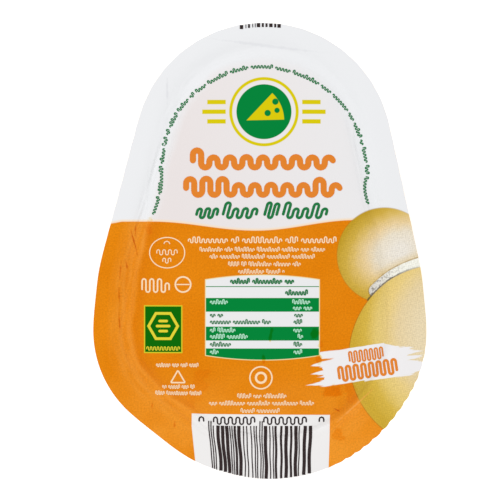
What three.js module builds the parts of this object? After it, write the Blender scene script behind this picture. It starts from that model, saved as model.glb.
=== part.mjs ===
// A sealed pack of smoked cheese, lying on its formed base with the printed lid up.
// Millimetres, +Z up, +Y towards the narrow head of the pack. The origin is on the
// surface the pack lies on, under the middle of its outline.

import * as THREE from 'three';

// ---- Outline: a taut band round six discs ----

const DISCS = [
  { x: 1.2, y: 29.5, r: 38.6 }, // the head
  { x: 0.2, y: -14.7, r: 48.9 }, // the belly
  { x: 3.3, y: -21.9, r: 46.2 }, // the foot
  { x: -16.7, y: -24.0, r: 33.0 }, // the left flank
  { x: 14.8, y: -25.1, r: 34.9 }, // the right flank
  { x: -6.9, y: -36.2, r: 29.5 }, // the corner where the foot is cut straighter
];
const POINTS_ROUND = 80;
const BAND_DIRECTIONS = 1440;
const STEEPEST_VIEW = 0.4; // cosine past which a direction can't touch the band

// ---- Heights and thicknesses ----

const PACK_HEIGHT = 50; // floor to the top of the crown over the cheese
const CROWN_RISE = 1.5; // crown above the sealed rim
const LID_THICKNESS = 0.4;
const SEAL_GAP = 0.3;
const BASE_RIM_THICKNESS = 0.6;
const RIM_TOP = PACK_HEIGHT - CROWN_RISE;
const BASE_TOP_DROP = LID_THICKNESS + SEAL_GAP;
const RIM_UNDERSIDE = RIM_TOP - BASE_TOP_DROP - BASE_RIM_THICKNESS;

// ---- The lid's relief, from the cut edge inwards: a flat sealed rim, the shallow moat
// where the film is drawn in between rim and cheese, then the cheese's shoulder ----

const MOUTH_INSET = 7.4; // width of the sealed rim
const MOUTH_SHIFT = 1.9; // the rim is wider at the foot than at the head
const SHOULDER_INSET = 12.8;
const LID_RELIEF = [
  { inset: 0, shift: 0, lift: 0 },
  { inset: 5.2, shift: MOUTH_SHIFT, lift: 0 },
  { inset: MOUTH_INSET, shift: MOUTH_SHIFT, lift: -0.3 },
  { inset: 9.4, shift: MOUTH_SHIFT, lift: -1.2 },
  { inset: 11.2, shift: 1.2, lift: -0.8 },
  { inset: SHOULDER_INSET, shift: 0.6, lift: 0.2 },
];
const CROWN_SHARES = [0.84, 0.56, 0.28]; // rings between the shoulder and the crown's top

// ---- The formed base: a deep rounded bowl, deepest under the belly ----

const BOWL_BOTTOM = { x: 0, y: -8 };
const BOWL_SQUARENESS = 2.3; // 2 is an ellipse, more is boxier
const BOWL_RINGS = 14;
const PRESSED_FLAT = 1.8; // how much of the round bottom is flattened by lying on the table
const BOWL_DEPTH = RIM_UNDERSIDE + PRESSED_FLAT;
const HEAD_SHALLOWING = { reach: 70, share: 0.3 };
const FOOT_SHALLOWING = { reach: 51, share: 0.1 };

/** How far the band reaches from the origin in each direction, before any inset. */
const BAND_REACH = Array.from({ length: BAND_DIRECTIONS }, (_, i) => {
  const normal = (2 * Math.PI * i) / BAND_DIRECTIONS;
  const reaches = DISCS.map((d) => d.x * Math.cos(normal) + d.y * Math.sin(normal) + d.r);
  return { normal, reach: Math.max(...reaches) };
});

/** Distance from the origin to the band along `angle`, drawn in by `inset`, moved by `shift`. */
function bandRadius(angle, inset, shift) {
  let nearest = Infinity;
  for (const { normal, reach } of BAND_REACH) {
    const facing = Math.cos(angle - normal);
    if (facing < STEEPEST_VIEW) continue;
    nearest = Math.min(nearest, (reach - inset + shift * Math.sin(normal)) / facing);
  }
  return nearest;
}

/** One closed ring of points round the pack, at the band drawn in by `inset`. */
function ring(inset, shift, z) {
  return Array.from({ length: POINTS_ROUND }, (_, i) => {
    const angle = (2 * Math.PI * i) / POINTS_ROUND;
    const radius = bandRadius(angle, inset, shift);
    return [radius * Math.cos(angle), radius * Math.sin(angle), z];
  });
}

/** The lid's rings from the crown out to the cut edge, all lowered by `drop`. */
function reliefRings(drop) {
  const slope = LID_RELIEF.map((r) => ring(r.inset, r.shift, RIM_TOP + r.lift - drop));
  const shoulder = slope[slope.length - 1];
  const shoulderLift = LID_RELIEF[LID_RELIEF.length - 1].lift;
  const crown = CROWN_SHARES.map((share) => {
    const lift = CROWN_RISE - (CROWN_RISE - shoulderLift) * share ** 2;
    return shoulder.map(([x, y]) => [x * share, y * share, RIM_TOP + lift - drop]);
  });
  return [...crown.reverse(), ...slope.reverse()];
}

/** Share of the bowl's full depth that is left at `y`. */
function depthShare(y) {
  const along = y - BOWL_BOTTOM.y;
  const { reach, share } = along > 0 ? HEAD_SHALLOWING : FOOT_SHALLOWING;
  return 1 - share * (along / reach) ** 2;
}

/** The bowl's rings from under the rim down to the table, rounded like a superellipse. */
function bowlRings() {
  const mouth = ring(MOUTH_INSET, MOUTH_SHIFT, RIM_UNDERSIDE);
  const power = 2 / BOWL_SQUARENESS;
  const below = Array.from({ length: BOWL_RINGS }, (_, i) => {
    const turn = ((i + 1) / (BOWL_RINGS + 1)) * (Math.PI / 2);
    const spread = Math.cos(turn) ** power;
    const sink = Math.sin(turn) ** power;
    return mouth.map(([mx, my]) => {
      const x = BOWL_BOTTOM.x + (mx - BOWL_BOTTOM.x) * spread;
      const y = BOWL_BOTTOM.y + (my - BOWL_BOTTOM.y) * spread;
      const z = RIM_UNDERSIDE - BOWL_DEPTH * depthShare(y) * sink;
      return [x, y, Math.max(z, 0)];
    });
  });
  return [mouth, ...below];
}

/** A closed skin: a fan at `top`, bands between the rings, and a fan at `bottom`. */
function closedSkin(top, rings, bottom) {
  const points = [top, ...rings.flat(), bottom];
  const last = points.length - 1;
  const at = (k, i) => 1 + k * POINTS_ROUND + (i % POINTS_ROUND);
  const faces = [];
  for (let i = 0; i < POINTS_ROUND; i++) {
    faces.push(0, at(0, i), at(0, i + 1));
    for (let k = 0; k + 1 < rings.length; k++) {
      faces.push(at(k, i), at(k + 1, i), at(k + 1, i + 1));
      faces.push(at(k, i), at(k + 1, i + 1), at(k, i + 1));
    }
    faces.push(at(rings.length - 1, i), last, at(rings.length - 1, i + 1));
  }
  const geometry = new THREE.BufferGeometry();
  geometry.setAttribute('position', new THREE.Float32BufferAttribute(points.flat(), 3));
  geometry.setIndex(faces);
  geometry.computeVertexNormals();
  return geometry;
}

/** The printed top film: the relief above, and the same relief one thickness below. */
function lidFilm() {
  const above = reliefRings(0);
  const below = reliefRings(LID_THICKNESS).reverse();
  const crown = [0, 0, PACK_HEIGHT];
  const crownUnderside = [0, 0, PACK_HEIGHT - LID_THICKNESS];
  const film = new THREE.MeshStandardMaterial({ color: 0xe9872a, roughness: 0.35 });
  const mesh = new THREE.Mesh(closedSkin(crown, [...above, ...below], crownUnderside), film);
  mesh.name = 'lid_film';
  return mesh;
}

/** The clear formed film and the cheese that fills it, as one solid under the lid. */
function filledBase() {
  const top = reliefRings(BASE_TOP_DROP);
  const rimUnderside = ring(0, 0, RIM_UNDERSIDE);
  const crown = [0, 0, PACK_HEIGHT - BASE_TOP_DROP];
  const table = [BOWL_BOTTOM.x, BOWL_BOTTOM.y, 0];
  const film = new THREE.MeshStandardMaterial({ color: 0xd9a75a, roughness: 0.3 });
  const rings = [...top, rimUnderside, ...bowlRings()];
  const mesh = new THREE.Mesh(closedSkin(crown, rings, table), film);
  mesh.name = 'filled_base';
  return mesh;
}

const pack = new THREE.Group();
pack.add(lidFilm(), filledBase());

export default pack;
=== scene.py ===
"""The looks of a sealed pack of smoked cheese, built round its fixed solids.

The pack lies on its formed base with the printed lid up. Sizes are named in millimetres
and turned into metres by MM where a mesh or a node needs them. Whatever is finer than a
field of colour is drawn with squiggles, dashes and simple shapes.
"""

import logging
import math
import random
from contextlib import contextmanager
from dataclasses import dataclass, field
from enum import Enum
from typing import Iterator

import bpy
import numpy as np
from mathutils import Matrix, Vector, noise


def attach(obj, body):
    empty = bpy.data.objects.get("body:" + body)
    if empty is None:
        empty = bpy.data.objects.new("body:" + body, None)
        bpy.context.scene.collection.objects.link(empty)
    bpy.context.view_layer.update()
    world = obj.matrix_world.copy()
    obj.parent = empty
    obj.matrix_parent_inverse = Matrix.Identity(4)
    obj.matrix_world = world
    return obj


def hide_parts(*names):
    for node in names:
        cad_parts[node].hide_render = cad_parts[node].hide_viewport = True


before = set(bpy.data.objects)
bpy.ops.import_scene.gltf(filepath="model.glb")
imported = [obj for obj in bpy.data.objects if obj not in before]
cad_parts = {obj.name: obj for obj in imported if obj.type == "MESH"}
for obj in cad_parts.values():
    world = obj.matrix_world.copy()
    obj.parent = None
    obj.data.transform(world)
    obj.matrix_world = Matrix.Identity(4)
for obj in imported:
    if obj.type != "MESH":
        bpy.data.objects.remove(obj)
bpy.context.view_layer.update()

LOG = logging.getLogger("pack")
MM = 0.001
PRESS_HEIGHT = 60.0  # where print is drawn before it is pressed down on the lid
FACES_UP = 0.3  # faces whose normal rises more than this lie on top
ABOVE_RIM = 0.01  # clears rounding where faces are picked by height
SMOOTH_ANGLE = math.radians(50)
QUAD_ANGLE = math.radians(60)
BANNER_MIDDLE = (30.7, -33.7)  # the brushed banner over the pictured cheese
BANNER_TURN = 8.0  # its turn to the left, in degrees
SHARP = 0.12  # how soft the edge of a printed field is
SOFT = 0.2  # and where two fields run into each other
SOFTER = 0.3

Place = tuple[float, float]
Stop = tuple[float, str]


# ---------------------------------------------------------------- colours and nodes


class Ink(Enum):
    """The inks of the label, as sRGB hex values."""

    ORANGE = "#E5821F"
    GREEN = "#03753A"
    CREAM = "#FDDEB6"
    PALE = "#B4E9CC"
    YELLOW = "#E3D32A"
    DARK = "#2A1B1B"


class Tint(Enum):
    """The label's fields of colour and the shades laid over them, painted shade and sheen among them, as sRGB
    hex values.
    """

    FILM = "#EFF0F2"
    TOUCHED_FILM = "#FBF2EF"
    WAVE_EDGE = "#FCE0BC"
    # painted sheen where the film slopes down into the moat
    DRAWN_IN = "#F19A34"
    # darker orange just inside the cheese's shoulder: painted shade, where the film also clings to the cheese
    CLINGING_AND_SHADE = "#DC7704"
    # painted sheen towards the foot, where the film tilts to the lights
    FOOT_SHEEN = "#F39A2E"
    UPPER_RIM = "#8A6020"
    LOWER_RIM = "#7A5A20"
    TIE_SHADOW = "#DCBB62"
    TIE_SPECK = "#8A857E"
    TIE_LINE = "#9C7A3A"
    LOBE_FOLD = "#574B34"
    SCREEN = "#C9A468"
    WET = "#F8D834"
    BRUSHED = "#F2F0F1"
    TABLE_EDGE = "#F0DDA0"
    TABLE = "#EDEDEE"
    TABLE_ROW = "#008539"
    FOOT_PANEL = "#F2F0EF"
    SIDE_EDGE = "#D6CC2C"
    SIDE_PANEL = "#0A6A05"
    MEDAL = "#00843A"
    MEDAL_MARK = "#DCCB08"


def linear(hex_colour: str) -> tuple[float, float, float, float]:
    """Turns an sRGB hex colour into linear light.

    Args:
        hex_colour: A colour such as "#E78603".

    Returns:
        Linear red, green, blue and an alpha of one.
    """
    shares = [int(hex_colour[i : i + 2], 16) / 255 for i in (1, 3, 5)]
    curve = [s / 12.92 if s <= 0.04045 else ((s + 0.055) / 1.055) ** 2.4 for s in shares]
    return (*curve, 1.0)


def feed(node: bpy.types.Node, feeds: dict) -> None:
    """Gives a node's sockets their values and links.

    Args:
        node: The node.
        feeds: Socket name or number to a value, or to a socket or Field to link from.
    """
    for slot, value in feeds.items():
        source = value.socket if isinstance(value, Field) else value
        if isinstance(source, bpy.types.NodeSocket):
            node.id_data.links.new(source, node.inputs[slot])
        else:
            node.inputs[slot].default_value = source


def add_node(tree: bpy.types.NodeTree, kind: str, feeds: dict | None = None, **settings) -> bpy.types.Node:
    """Adds a node with its settings, values and links.

    Args:
        tree: The node tree that the node goes into.
        kind: The node's type name.
        feeds: What goes into its sockets, as feed takes it.
        **settings: Properties of the node; stops sets the colours of a ramp.

    Returns:
        The new node.
    """
    node = tree.nodes.new(kind)
    for name, value in settings.items():
        if name == "stops":
            ramp = node.color_ramp
            while len(ramp.elements) < len(value):
                ramp.elements.new(1.0)
            for element, (place, colour) in zip(ramp.elements, value):
                element.position = place
                element.color = linear(colour)
        else:
            setattr(node, name, value)
    feed(node, feeds or {})
    return node


def new_material(name: str) -> tuple[bpy.types.Material, bpy.types.NodeTree, bpy.types.Node]:
    """Starts a material.

    Args:
        name: What the real one is, in a maker's words.

    Returns:
        The material, its node tree and its Principled shader.
    """
    material = bpy.data.materials.new(name)
    material.use_nodes = True
    return material, material.node_tree, material.node_tree.nodes["Principled BSDF"]


class Field:
    """A number that varies over a surface, held as a node's output, with arithmetic."""

    def __init__(self, tree: bpy.types.NodeTree, socket: bpy.types.NodeSocket) -> None:
        """Keeps the tree and the socket that carries the number."""
        self.tree = tree
        self.socket = socket

    @classmethod
    def of(
        cls, tree: bpy.types.NodeTree, kind: str, feeds: dict, output: int | str = 0, **settings
    ) -> "Field":
        """Adds a node and holds one of its outputs.

        Args:
            tree: The node tree that the node goes into.
            kind: The node's type name.
            feeds: What goes into its sockets.
            output: The name or number of the output.
            **settings: Properties of the node.

        Returns:
            The output.
        """
        return cls(tree, add_node(tree, kind, feeds, **settings).outputs[output])

    def apply(self, operation: str, *others: "Field | float") -> "Field":
        """Feeds this number and the others to one Math operation.

        Args:
            operation: The operation's name, such as "ADD".
            *others: The second and third numbers, where it takes them.

        Returns:
            The result.
        """
        return Field.of(self.tree, "ShaderNodeMath", dict(enumerate((self, *others))), operation=operation)

    def __add__(self, other: "Field | float") -> "Field":
        """This plus the other."""
        return self.apply("ADD", other)

    def __sub__(self, other: "Field | float") -> "Field":
        """This less the other."""
        return self.apply("SUBTRACT", other)

    def __mul__(self, other: "Field | float") -> "Field":
        """This times the other."""
        return self.apply("MULTIPLY", other)

    def __truediv__(self, other: float) -> "Field":
        """This divided by a plain number."""
        return self.apply("MULTIPLY", 1.0 / other)

    def below(self, limit: float) -> "Field":
        """How far this lies below a limit."""
        return (self * -1.0) + limit

    def both(self, other: "Field | float") -> "Field":
        """The smaller of two distances: inside both."""
        return self.apply("MINIMUM", other)

    def either(self, other: "Field | float") -> "Field":
        """The larger of two distances: inside either."""
        return self.apply("MAXIMUM", other)

    def size(self) -> "Field":
        """This without its sign."""
        return self.apply("ABSOLUTE")

    def share(self, start: float, end: float) -> "Field":
        """Goes from 0 where this is at start to 1 where it is at end, and stays between them.

        Args:
            start: Where the share is 0.
            end: Where it is 1.

        Returns:
            The share.
        """
        slope = 1.0 / (end - start)
        feeds = {0: self, 1: slope, 2: -start * slope}
        return Field.of(self.tree, "ShaderNodeMath", feeds, operation="MULTIPLY_ADD", use_clamp=True)

    def inside(self, softness: float = SHARP) -> "Field":
        """A mask that is 1 where a distance in millimetres is positive."""
        return self.share(-softness / 2, softness / 2)


class Paint:
    """A colour that is laid down coat by coat."""

    def __init__(self, tree: bpy.types.NodeTree, ground: tuple | bpy.types.NodeSocket) -> None:
        """Starts from a ground, which is a linear colour or a socket that carries one."""
        self.tree = tree
        self.coat = ground

    def over(
        self, mask: Field, colour: "Tint | str | Field | bpy.types.NodeSocket", blend: str = "MIX"
    ) -> None:
        """Lays a colour over what is there.

        Args:
            mask: Where it goes, from 0 to 1.
            colour: A tint, a hex colour, or what carries a colour.
            blend: How the two are mixed, such as MIX or MULTIPLY.
        """
        laid = colour.value if isinstance(colour, Tint) else colour
        feeds = {0: mask, 6: self.coat, 7: linear(laid) if isinstance(laid, str) else laid}
        self.coat = add_node(
            self.tree, "ShaderNodeMix", feeds, data_type="RGBA", blend_type=blend
        ).outputs[2]


class Plan:
    """The label seen from straight above: a point's place on it, in millimetres."""

    def __init__(self, tree: bpy.types.NodeTree) -> None:
        """Reads the object's own coordinates and turns them into millimetres.

        Args:
            tree: The node tree that reads the plan.
        """
        self.tree = tree
        place = add_node(tree, "ShaderNodeTexCoord").outputs["Object"]
        point = add_node(tree, "ShaderNodeVectorMath", {0: place, 1: (1.0 / MM,) * 3}, operation="MULTIPLY")
        axes = add_node(tree, "ShaderNodeSeparateXYZ", {0: point.outputs[0]})
        self.x = Field(tree, axes.outputs[0])
        self.y = Field(tree, axes.outputs[1])
        self.flat = add_node(tree, "ShaderNodeCombineXYZ", {0: self.x, 1: self.y}).outputs[0]

    def reach(self, centre: Place) -> Field:
        """The distance from a point of the label."""
        feeds = {0: self.flat, 1: (*centre, 0.0)}
        return Field.of(self.tree, "ShaderNodeVectorMath", feeds, "Value", operation="DISTANCE")

    def disc(self, centre: Place, radius: float) -> Field:
        """How far a point is inside a disc."""
        return self.reach(centre).below(radius)

    def box(self, centre: Place, half: Place) -> Field:
        """How far a point is inside an upright rectangle.

        Args:
            centre: The rectangle's middle.
            half: Its half sizes.

        Returns:
            The distance, positive inside, in millimetres.
        """
        across = (self.x - centre[0]).size().below(half[0])
        along = (self.y - centre[1]).size().below(half[1])
        return across.both(along)

    def mapped(self, centre: Place, degrees: float, stretch: Place) -> bpy.types.NodeSocket:
        """The place on the label in axes of its own.

        Args:
            centre: The new origin.
            degrees: How far the new axes are turned to the left.
            stretch: What each new coordinate is divided by.

        Returns:
            The vector that holds the new coordinates.
        """
        feeds = {
            "Vector": self.flat,
            "Location": (*centre, 0.0),
            "Rotation": (0.0, 0.0, math.radians(degrees)),
            "Scale": (*stretch, 1.0),
        }
        return add_node(self.tree, "ShaderNodeMapping", feeds, vector_type="TEXTURE").outputs[0]

    def turned(self, centre: Place, degrees: float, stretch: Place = (1.0, 1.0)) -> tuple[Field, Field]:
        """The two coordinates in axes of their own, as mapped gives them."""
        axes = add_node(self.tree, "ShaderNodeSeparateXYZ", {0: self.mapped(centre, degrees, stretch)})
        return Field(self.tree, axes.outputs[0]), Field(self.tree, axes.outputs[1])

    def oval(self, centre: Place, degrees: float, half: Place) -> Field:
        """How far out a point is from the centre of a turned ellipse, 1 on its edge."""
        feeds = {0: self.mapped(centre, degrees, half)}
        return Field.of(self.tree, "ShaderNodeVectorMath", feeds, "Value", operation="LENGTH")

    def cloud(self, grain: float, detail: float = 2.0, seed: float = 0.0) -> Field:
        """Soft noise from 0 to 1.

        Args:
            grain: The size of its blotches, in millimetres.
            detail: How many finer octaves it has.
            seed: Moves it to another part of the noise.

        Returns:
            The noise.
        """
        feeds = {"Vector": self.flat, "W": seed, "Scale": 1.0 / grain, "Detail": detail}
        return Field.of(self.tree, "ShaderNodeTexNoise", feeds, noise_dimensions="4D")

    def drift(self, *axes: Field, scale: float, detail: float, roughness: float = 0.5) -> Field:
        """Soft noise from 0 to 1 over fields that serve as its axes.

        Args:
            *axes: Two or three fields.
            scale: How many blotches there are to one unit of them.
            detail: How many finer octaves it has.
            roughness: How strong those are.

        Returns:
            The noise.
        """
        place = add_node(self.tree, "ShaderNodeCombineXYZ", dict(enumerate(axes))).outputs[0]
        feeds = {"Vector": place, "Scale": scale, "Detail": detail, "Roughness": roughness}
        return Field.of(self.tree, "ShaderNodeTexNoise", feeds, noise_dimensions="3D")


# ---------------------------------------------------------------- the label's fields of colour


@dataclass(frozen=True)
class Blotch:
    """A patch where the wet cheese clings to the film: middle, half sizes and turn."""

    x: float
    y: float
    half_x: float
    half_y: float
    turn: float
    strength: float

    def oval(self, plan: Plan) -> Field:
        """How far out a point is from its middle, 1 on its edge."""
        return plan.oval((self.x, self.y), self.turn, (self.half_x, self.half_y))


@dataclass(frozen=True)
class Crease:
    """A sharp crease in the film: its middle, half length, turn, and the colour painted along it as shade, or
    as highlight on the raised crease.
    """

    x: float
    y: float
    half_length: float
    turn: float
    shade: str
    half_width: float

    def oval(self, plan: Plan) -> Field:
        """How far out a point is from its middle, 1 on its edge."""
        return plan.oval((self.x, self.y), self.turn, (self.half_length, self.half_width))


@dataclass(frozen=True)
class Tooth:
    """One stroke of a dry brush: its middle line, its tip and its half width."""

    middle: float
    tip: float
    half: float

    def stroke(self, along: Field, across: Field, root: float) -> Field:
        """How far a point is inside the stroke, which tapers from its root to its tip.

        Args:
            along: The distance along the banner.
            across: The distance across it.
            root: Where the stroke has its full width.

        Returns:
            The distance, positive inside, in millimetres.
        """
        margin = 0.15
        half = along.share(self.tip, root) * (self.half + margin)
        past = along.share(self.tip, self.tip + math.copysign(1.0, self.tip - root))
        return half - (across - self.middle).size() - past - margin


@dataclass(frozen=True)
class Lobe:
    """One lobe of the pictured cheese, shaded outwards from a light patch."""

    centre: Place
    radius: float
    light: Place
    turn: float
    stretch: Place
    run: float
    stops: tuple[Stop, ...]

    def disc(self, plan: Plan) -> Field:
        """How far a point is inside the lobe."""
        return plan.disc(self.centre, self.radius)

    def shading(self, plan: Plan, streaks: Field) -> bpy.types.NodeSocket:
        """The lobe's colour, which the streaks make a little uneven."""
        far = (plan.oval(self.light, self.turn, self.stretch) + streaks).share(0.0, self.run)
        return add_node(plan.tree, "ShaderNodeValToRGB", {0: far}, stops=self.stops).outputs[0]


def merged(fields: list[Field]) -> Field:
    """How far a point is inside any of several shapes.

    Args:
        fields: How far the point is inside each of them.

    Returns:
        The largest of those distances.
    """
    whole = fields[0]
    for part in fields[1:]:
        whole = whole.either(part)
    return whole


@dataclass(frozen=True)
class LabelColours:
    """The printed fields of the label, in millimetres from the middle of the pack.

    A pair is a place, or the start and the end of a share, as Field.share takes them.
    """

    wave_middle: float = -1.0
    wave_left: float = 31.0
    wave_right: float = 30.0
    wave_low: float = 5.85
    wave_rise: float = 2.7
    wave_extra: float = 0.45
    wave_droop: float = 0.9
    droop_run: Place = (-41.0, -46.0)
    # the band of painted sheen on the moat's slope: where it rises and where it fades
    drawn_in: tuple[Place, Place] = ((3.2, 7.5), (12.4, 11.0))
    # the darker band inside the shoulder, partly painted shade: where it starts, and where it is deepest
    clings: tuple[Place, Place] = ((11.1, 12.8), (16.0, 13.0))
    clinging_shade_above: Place = (-58.0, -44.0)
    # where the painted sheen towards the foot starts and where it is full
    foot_sheen: Place = (-34.0, -58.0)
    orange_stops: tuple[Stop, ...] = ((0.35, "#E48206"), (0.65, "#E9890E"))
    upper_lobe: Lobe = Lobe(
        centre=(37.4, -1.5),
        radius=14.2,
        light=(41.8, -0.1),
        turn=28.0,
        stretch=(1.35, 1.0),
        run=16.0,
        stops=(
            (0.1, "#F0EBE1"),
            (0.32, "#EEE5D1"),
            (0.5, "#EED5A3"),
            (0.66, "#E1C270"),
            (0.78, "#D4B24A"),
            (0.95, "#C5A02A"),
        ),
    )
    lower_lobe: Lobe = Lobe(
        centre=(54.4, -31.9),
        radius=27.6,
        light=(54.0, -25.0),
        turn=0.0,
        stretch=(0.97, 1.3),
        run=28.0,
        stops=(
            (0.25, "#EEDEB9"),
            (0.457, "#EBD7A9"),
            (0.596, "#EED48B"),
            (0.7, "#EACF7B"),
            (0.818, "#DCBB4E"),
            (0.95, "#D2AE3A"),
        ),
    )
    tie_circle: Place = (56.1, -33.0)
    tie_radius: float = 31.9
    tie_end: Place = (34.6, -12.1)
    tie_end_radius: float = 1.9
    tie_turn: float = 45.8
    tie_run: Place = (31.5, 42.0)
    tie_stops: tuple[Stop, ...] = ((0.0, "#D5D2CB"), (0.4, "#EBE9E2"), (0.8, "#F9FAF1"))
    screen_pitch: float = 0.8
    screen_turn: float = 33.0
    table_middle: float = 0.95
    table_half: float = 16.85
    table_top: float = -7.5
    table_bottom: float = -32.6
    table_bow: float = 1.35
    table_border: float = 0.26
    table_rows: tuple[Place, ...] = ((-18.3, -14.2), (-26.9, -22.75), (-40.0, -29.25), (-10.94, -10.7))
    foot_top: float = -49.0
    foot_left: float = -20.2
    foot_right: float = 21.1
    foot_lean: float = 1.3
    foot_lean_run: Place = (-52.5, -65.0)
    banner_half: float = 5.05
    banner_ends: Place = (-11.9, 13.5)
    banner_fraying: float = 5.2
    banner_frays: Place = (7.0, 20.0)
    banner_left: tuple[Tooth, ...] = (
        Tooth(4.25, -12.6, 0.8),
        Tooth(1.35, -15.9, 0.85),
        Tooth(-1.1, -16.2, 0.75),
        Tooth(-2.45, -14.9, 0.3),
        Tooth(-4.25, -18.0, 0.95),
    )
    banner_right: tuple[Tooth, ...] = (
        Tooth(2.6, 16.0, 0.5),
        Tooth(1.2, 18.6, 0.9),
        Tooth(-0.4, 19.4, 0.7),
        Tooth(-3.2, 22.0, 2.4),
    )
    banner_slits: tuple[Tooth, ...] = (Tooth(4.25, -6.2, 0.2), Tooth(2.5, -6.0, 0.36))
    medal: Place = (1.4, 41.3)
    medal_radius: float = 8.2
    medal_ring: float = 9.9
    medal_ring_half: float = 0.45
    medal_bars: tuple[Place, ...] = ((2.9, 2.75), (0.0, 3.5), (-2.9, 2.75))
    medal_bar_start: float = 11.4
    medal_bar_half: float = 0.65
    wedge_tip: Place = (-5.2, -2.6)
    wedge_turn: float = 24.0
    wedge_slope: float = 0.42
    wedge_length: float = 11.2
    wedge_holes: tuple[tuple[float, float, float], ...] = (
        (1.1, -0.4, 0.95),
        (3.9, 0.4, 0.8),
        (3.4, 3.0, 0.95),
    )
    panel: Place = (-28.65, -23.55)
    panel_half: Place = (5.75, 7.15)
    panel_border: float = 0.35
    blotches: tuple[Blotch, ...] = (
        Blotch(3.4, -25.6, 0.55, 2.4, -8.0, 0.8),
        Blotch(1.3, -32.6, 0.5, 1.6, 6.0, 0.8),
        Blotch(16.5, -24.9, 1.2, 1.3, 0.0, 0.85),
        Blotch(18.4, -28.3, 0.9, 1.5, 10.0, 0.5),
        Blotch(17.9, -32.7, 1.0, 1.4, 20.0, 0.7),
        Blotch(21.6, -42.0, 2.9, 1.7, 4.0, 0.9),
        Blotch(27.6, -43.2, 1.5, 3.9, 12.0, 0.45),
        Blotch(23.4, -55.2, 1.7, 1.9, 20.0, 0.6),
        Blotch(23.0, -48.2, 2.2, 0.3, 32.0, 0.4),
        Blotch(-18.3, -41.0, 2.2, 5.4, -25.0, 0.35),
        Blotch(-33.0, 6.9, 1.2, 2.4, 0.0, 0.5),
    )
    # painted shade along the film's creases; the last two are faint grey on the white film
    creases: tuple[Crease, ...] = (
        Crease(-37.5, 2.75, 4.0, -75.4, "#E2B47C", 0.28),
        Crease(-37.0, 6.35, 2.2, 87.0, "#EBC898", 0.28),
        Crease(-41.5, -6.4, 2.6, 84.0, "#EECFA4", 0.26),
        Crease(-41.9, -13.2, 2.4, 93.0, "#EECFA4", 0.26),
        Crease(-41.8, -21.25, 4.2, -86.0, "#ECCA9C", 0.26),
        Crease(-39.7, -4.25, 1.5, -77.5, "#E8C290", 0.28),
        Crease(-25.3, -51.9, 1.3, 90.0, "#EFD3AC", 0.3),
        Crease(-32.0, -46.3, 1.2, 90.0, "#EFD3AC", 0.3),
        Crease(23.2, -47.7, 1.2, -26.6, "#DDB48C", 0.25),
        Crease(2.4, 61.1, 15.8, -7.1, "#F8F8F9", 0.5),
        Crease(-27.5, 48.0, 3.8, 90.0, "#F6F6F7", 0.4),
    )
    # a painted highlight along the raised crease at the lower right
    streak: Crease = Crease(28.2, -46.9, 7.2, 42.5, "#F5A956", 0.32)

    def wave(self, plan: Plan) -> Field:
        """How far a point is below the wavy line between the white and the orange.

        Args:
            plan: The label's plan.

        Returns:
            The distance, positive inside, in millimetres.
        """
        left = plan.x.below(self.wave_middle) / self.wave_left
        right = (plan.x - self.wave_middle) / self.wave_right
        run = left.either(right).share(0.0, 1.0) * math.pi
        rise = plan.x.share(-2.0, 2.0) * (self.wave_extra / 2) + self.wave_rise / 2
        hump = run.apply("COSINE").below(1.0) * rise
        droop = plan.x.share(*self.droop_run) * self.wave_droop
        return (hump - droop - plan.y) + self.wave_low

    def table(self, plan: Plan, margin: float) -> Field:
        """How far a point is inside the facts panel, whose top and bottom are bowed.

        Args:
            plan: The label's plan.
            margin: How far the panel is grown on every side.

        Returns:
            The distance, positive inside, in millimetres.
        """
        off = plan.x - self.table_middle
        bow = (off * off) * (self.table_bow / self.table_half**2)
        top = (plan.y + bow).below(self.table_top + margin)
        bottom = (plan.y - bow) - (self.table_bottom - margin)
        side = off.size().below(self.table_half + margin)
        return side.both(top).both(bottom)

    def bands(self, plan: Plan) -> Field:
        """How far a point is inside the panel's green rows and its thin rule."""
        rows = self.table_rows
        return merged([(plan.y - (low + high) / 2).size().below((high - low) / 2) for low, high in rows])

    def foot_panel(self, plan: Plan) -> Field:
        """How far a point is inside the pale panel at the foot.

        Args:
            plan: The label's plan.

        Returns:
            The distance, positive inside, in millimetres.
        """
        lean = plan.y.share(*self.foot_lean_run) * self.foot_lean
        left = (plan.x - lean) - self.foot_left
        right = (plan.x + lean * 0.3).below(self.foot_right)
        top = (plan.y + plan.x * 0.008).below(self.foot_top)
        return left.both(right).both(top)

    def brushed_banner(self, plan: Plan) -> Field:
        """How far a point is inside the banner laid with a dry brush, whose ends are ragged.

        Args:
            plan: The label's plan.

        Returns:
            The distance, positive inside, in millimetres.
        """
        along, across = plan.turned(BANNER_MIDDLE, BANNER_TURN)
        rough = plan.drift(along * 0.06, across, scale=1.6, detail=3.0, roughness=0.6)
        start, end = self.banner_ends
        stripe = (along - start).both(along.below(end)).both((across + 0.1).size().below(self.banner_half))
        slits = merged([tooth.stroke(along, across, start) for tooth in self.banner_slits]) * -1.0
        fraying = along.share(*self.banner_frays) * self.banner_fraying
        stripe = stripe.both(slits).both(across.below(self.banner_half) - fraying)
        left = merged([tooth.stroke(along, across, start) for tooth in self.banner_left])
        right = merged([tooth.stroke(along, across, end) for tooth in self.banner_right])
        whole = stripe.either(left.both(along * -1.0)).either(right.both(along))
        return whole + (rough - 0.5) * (along.share(6.0, 14.0) + 1.3)

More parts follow.
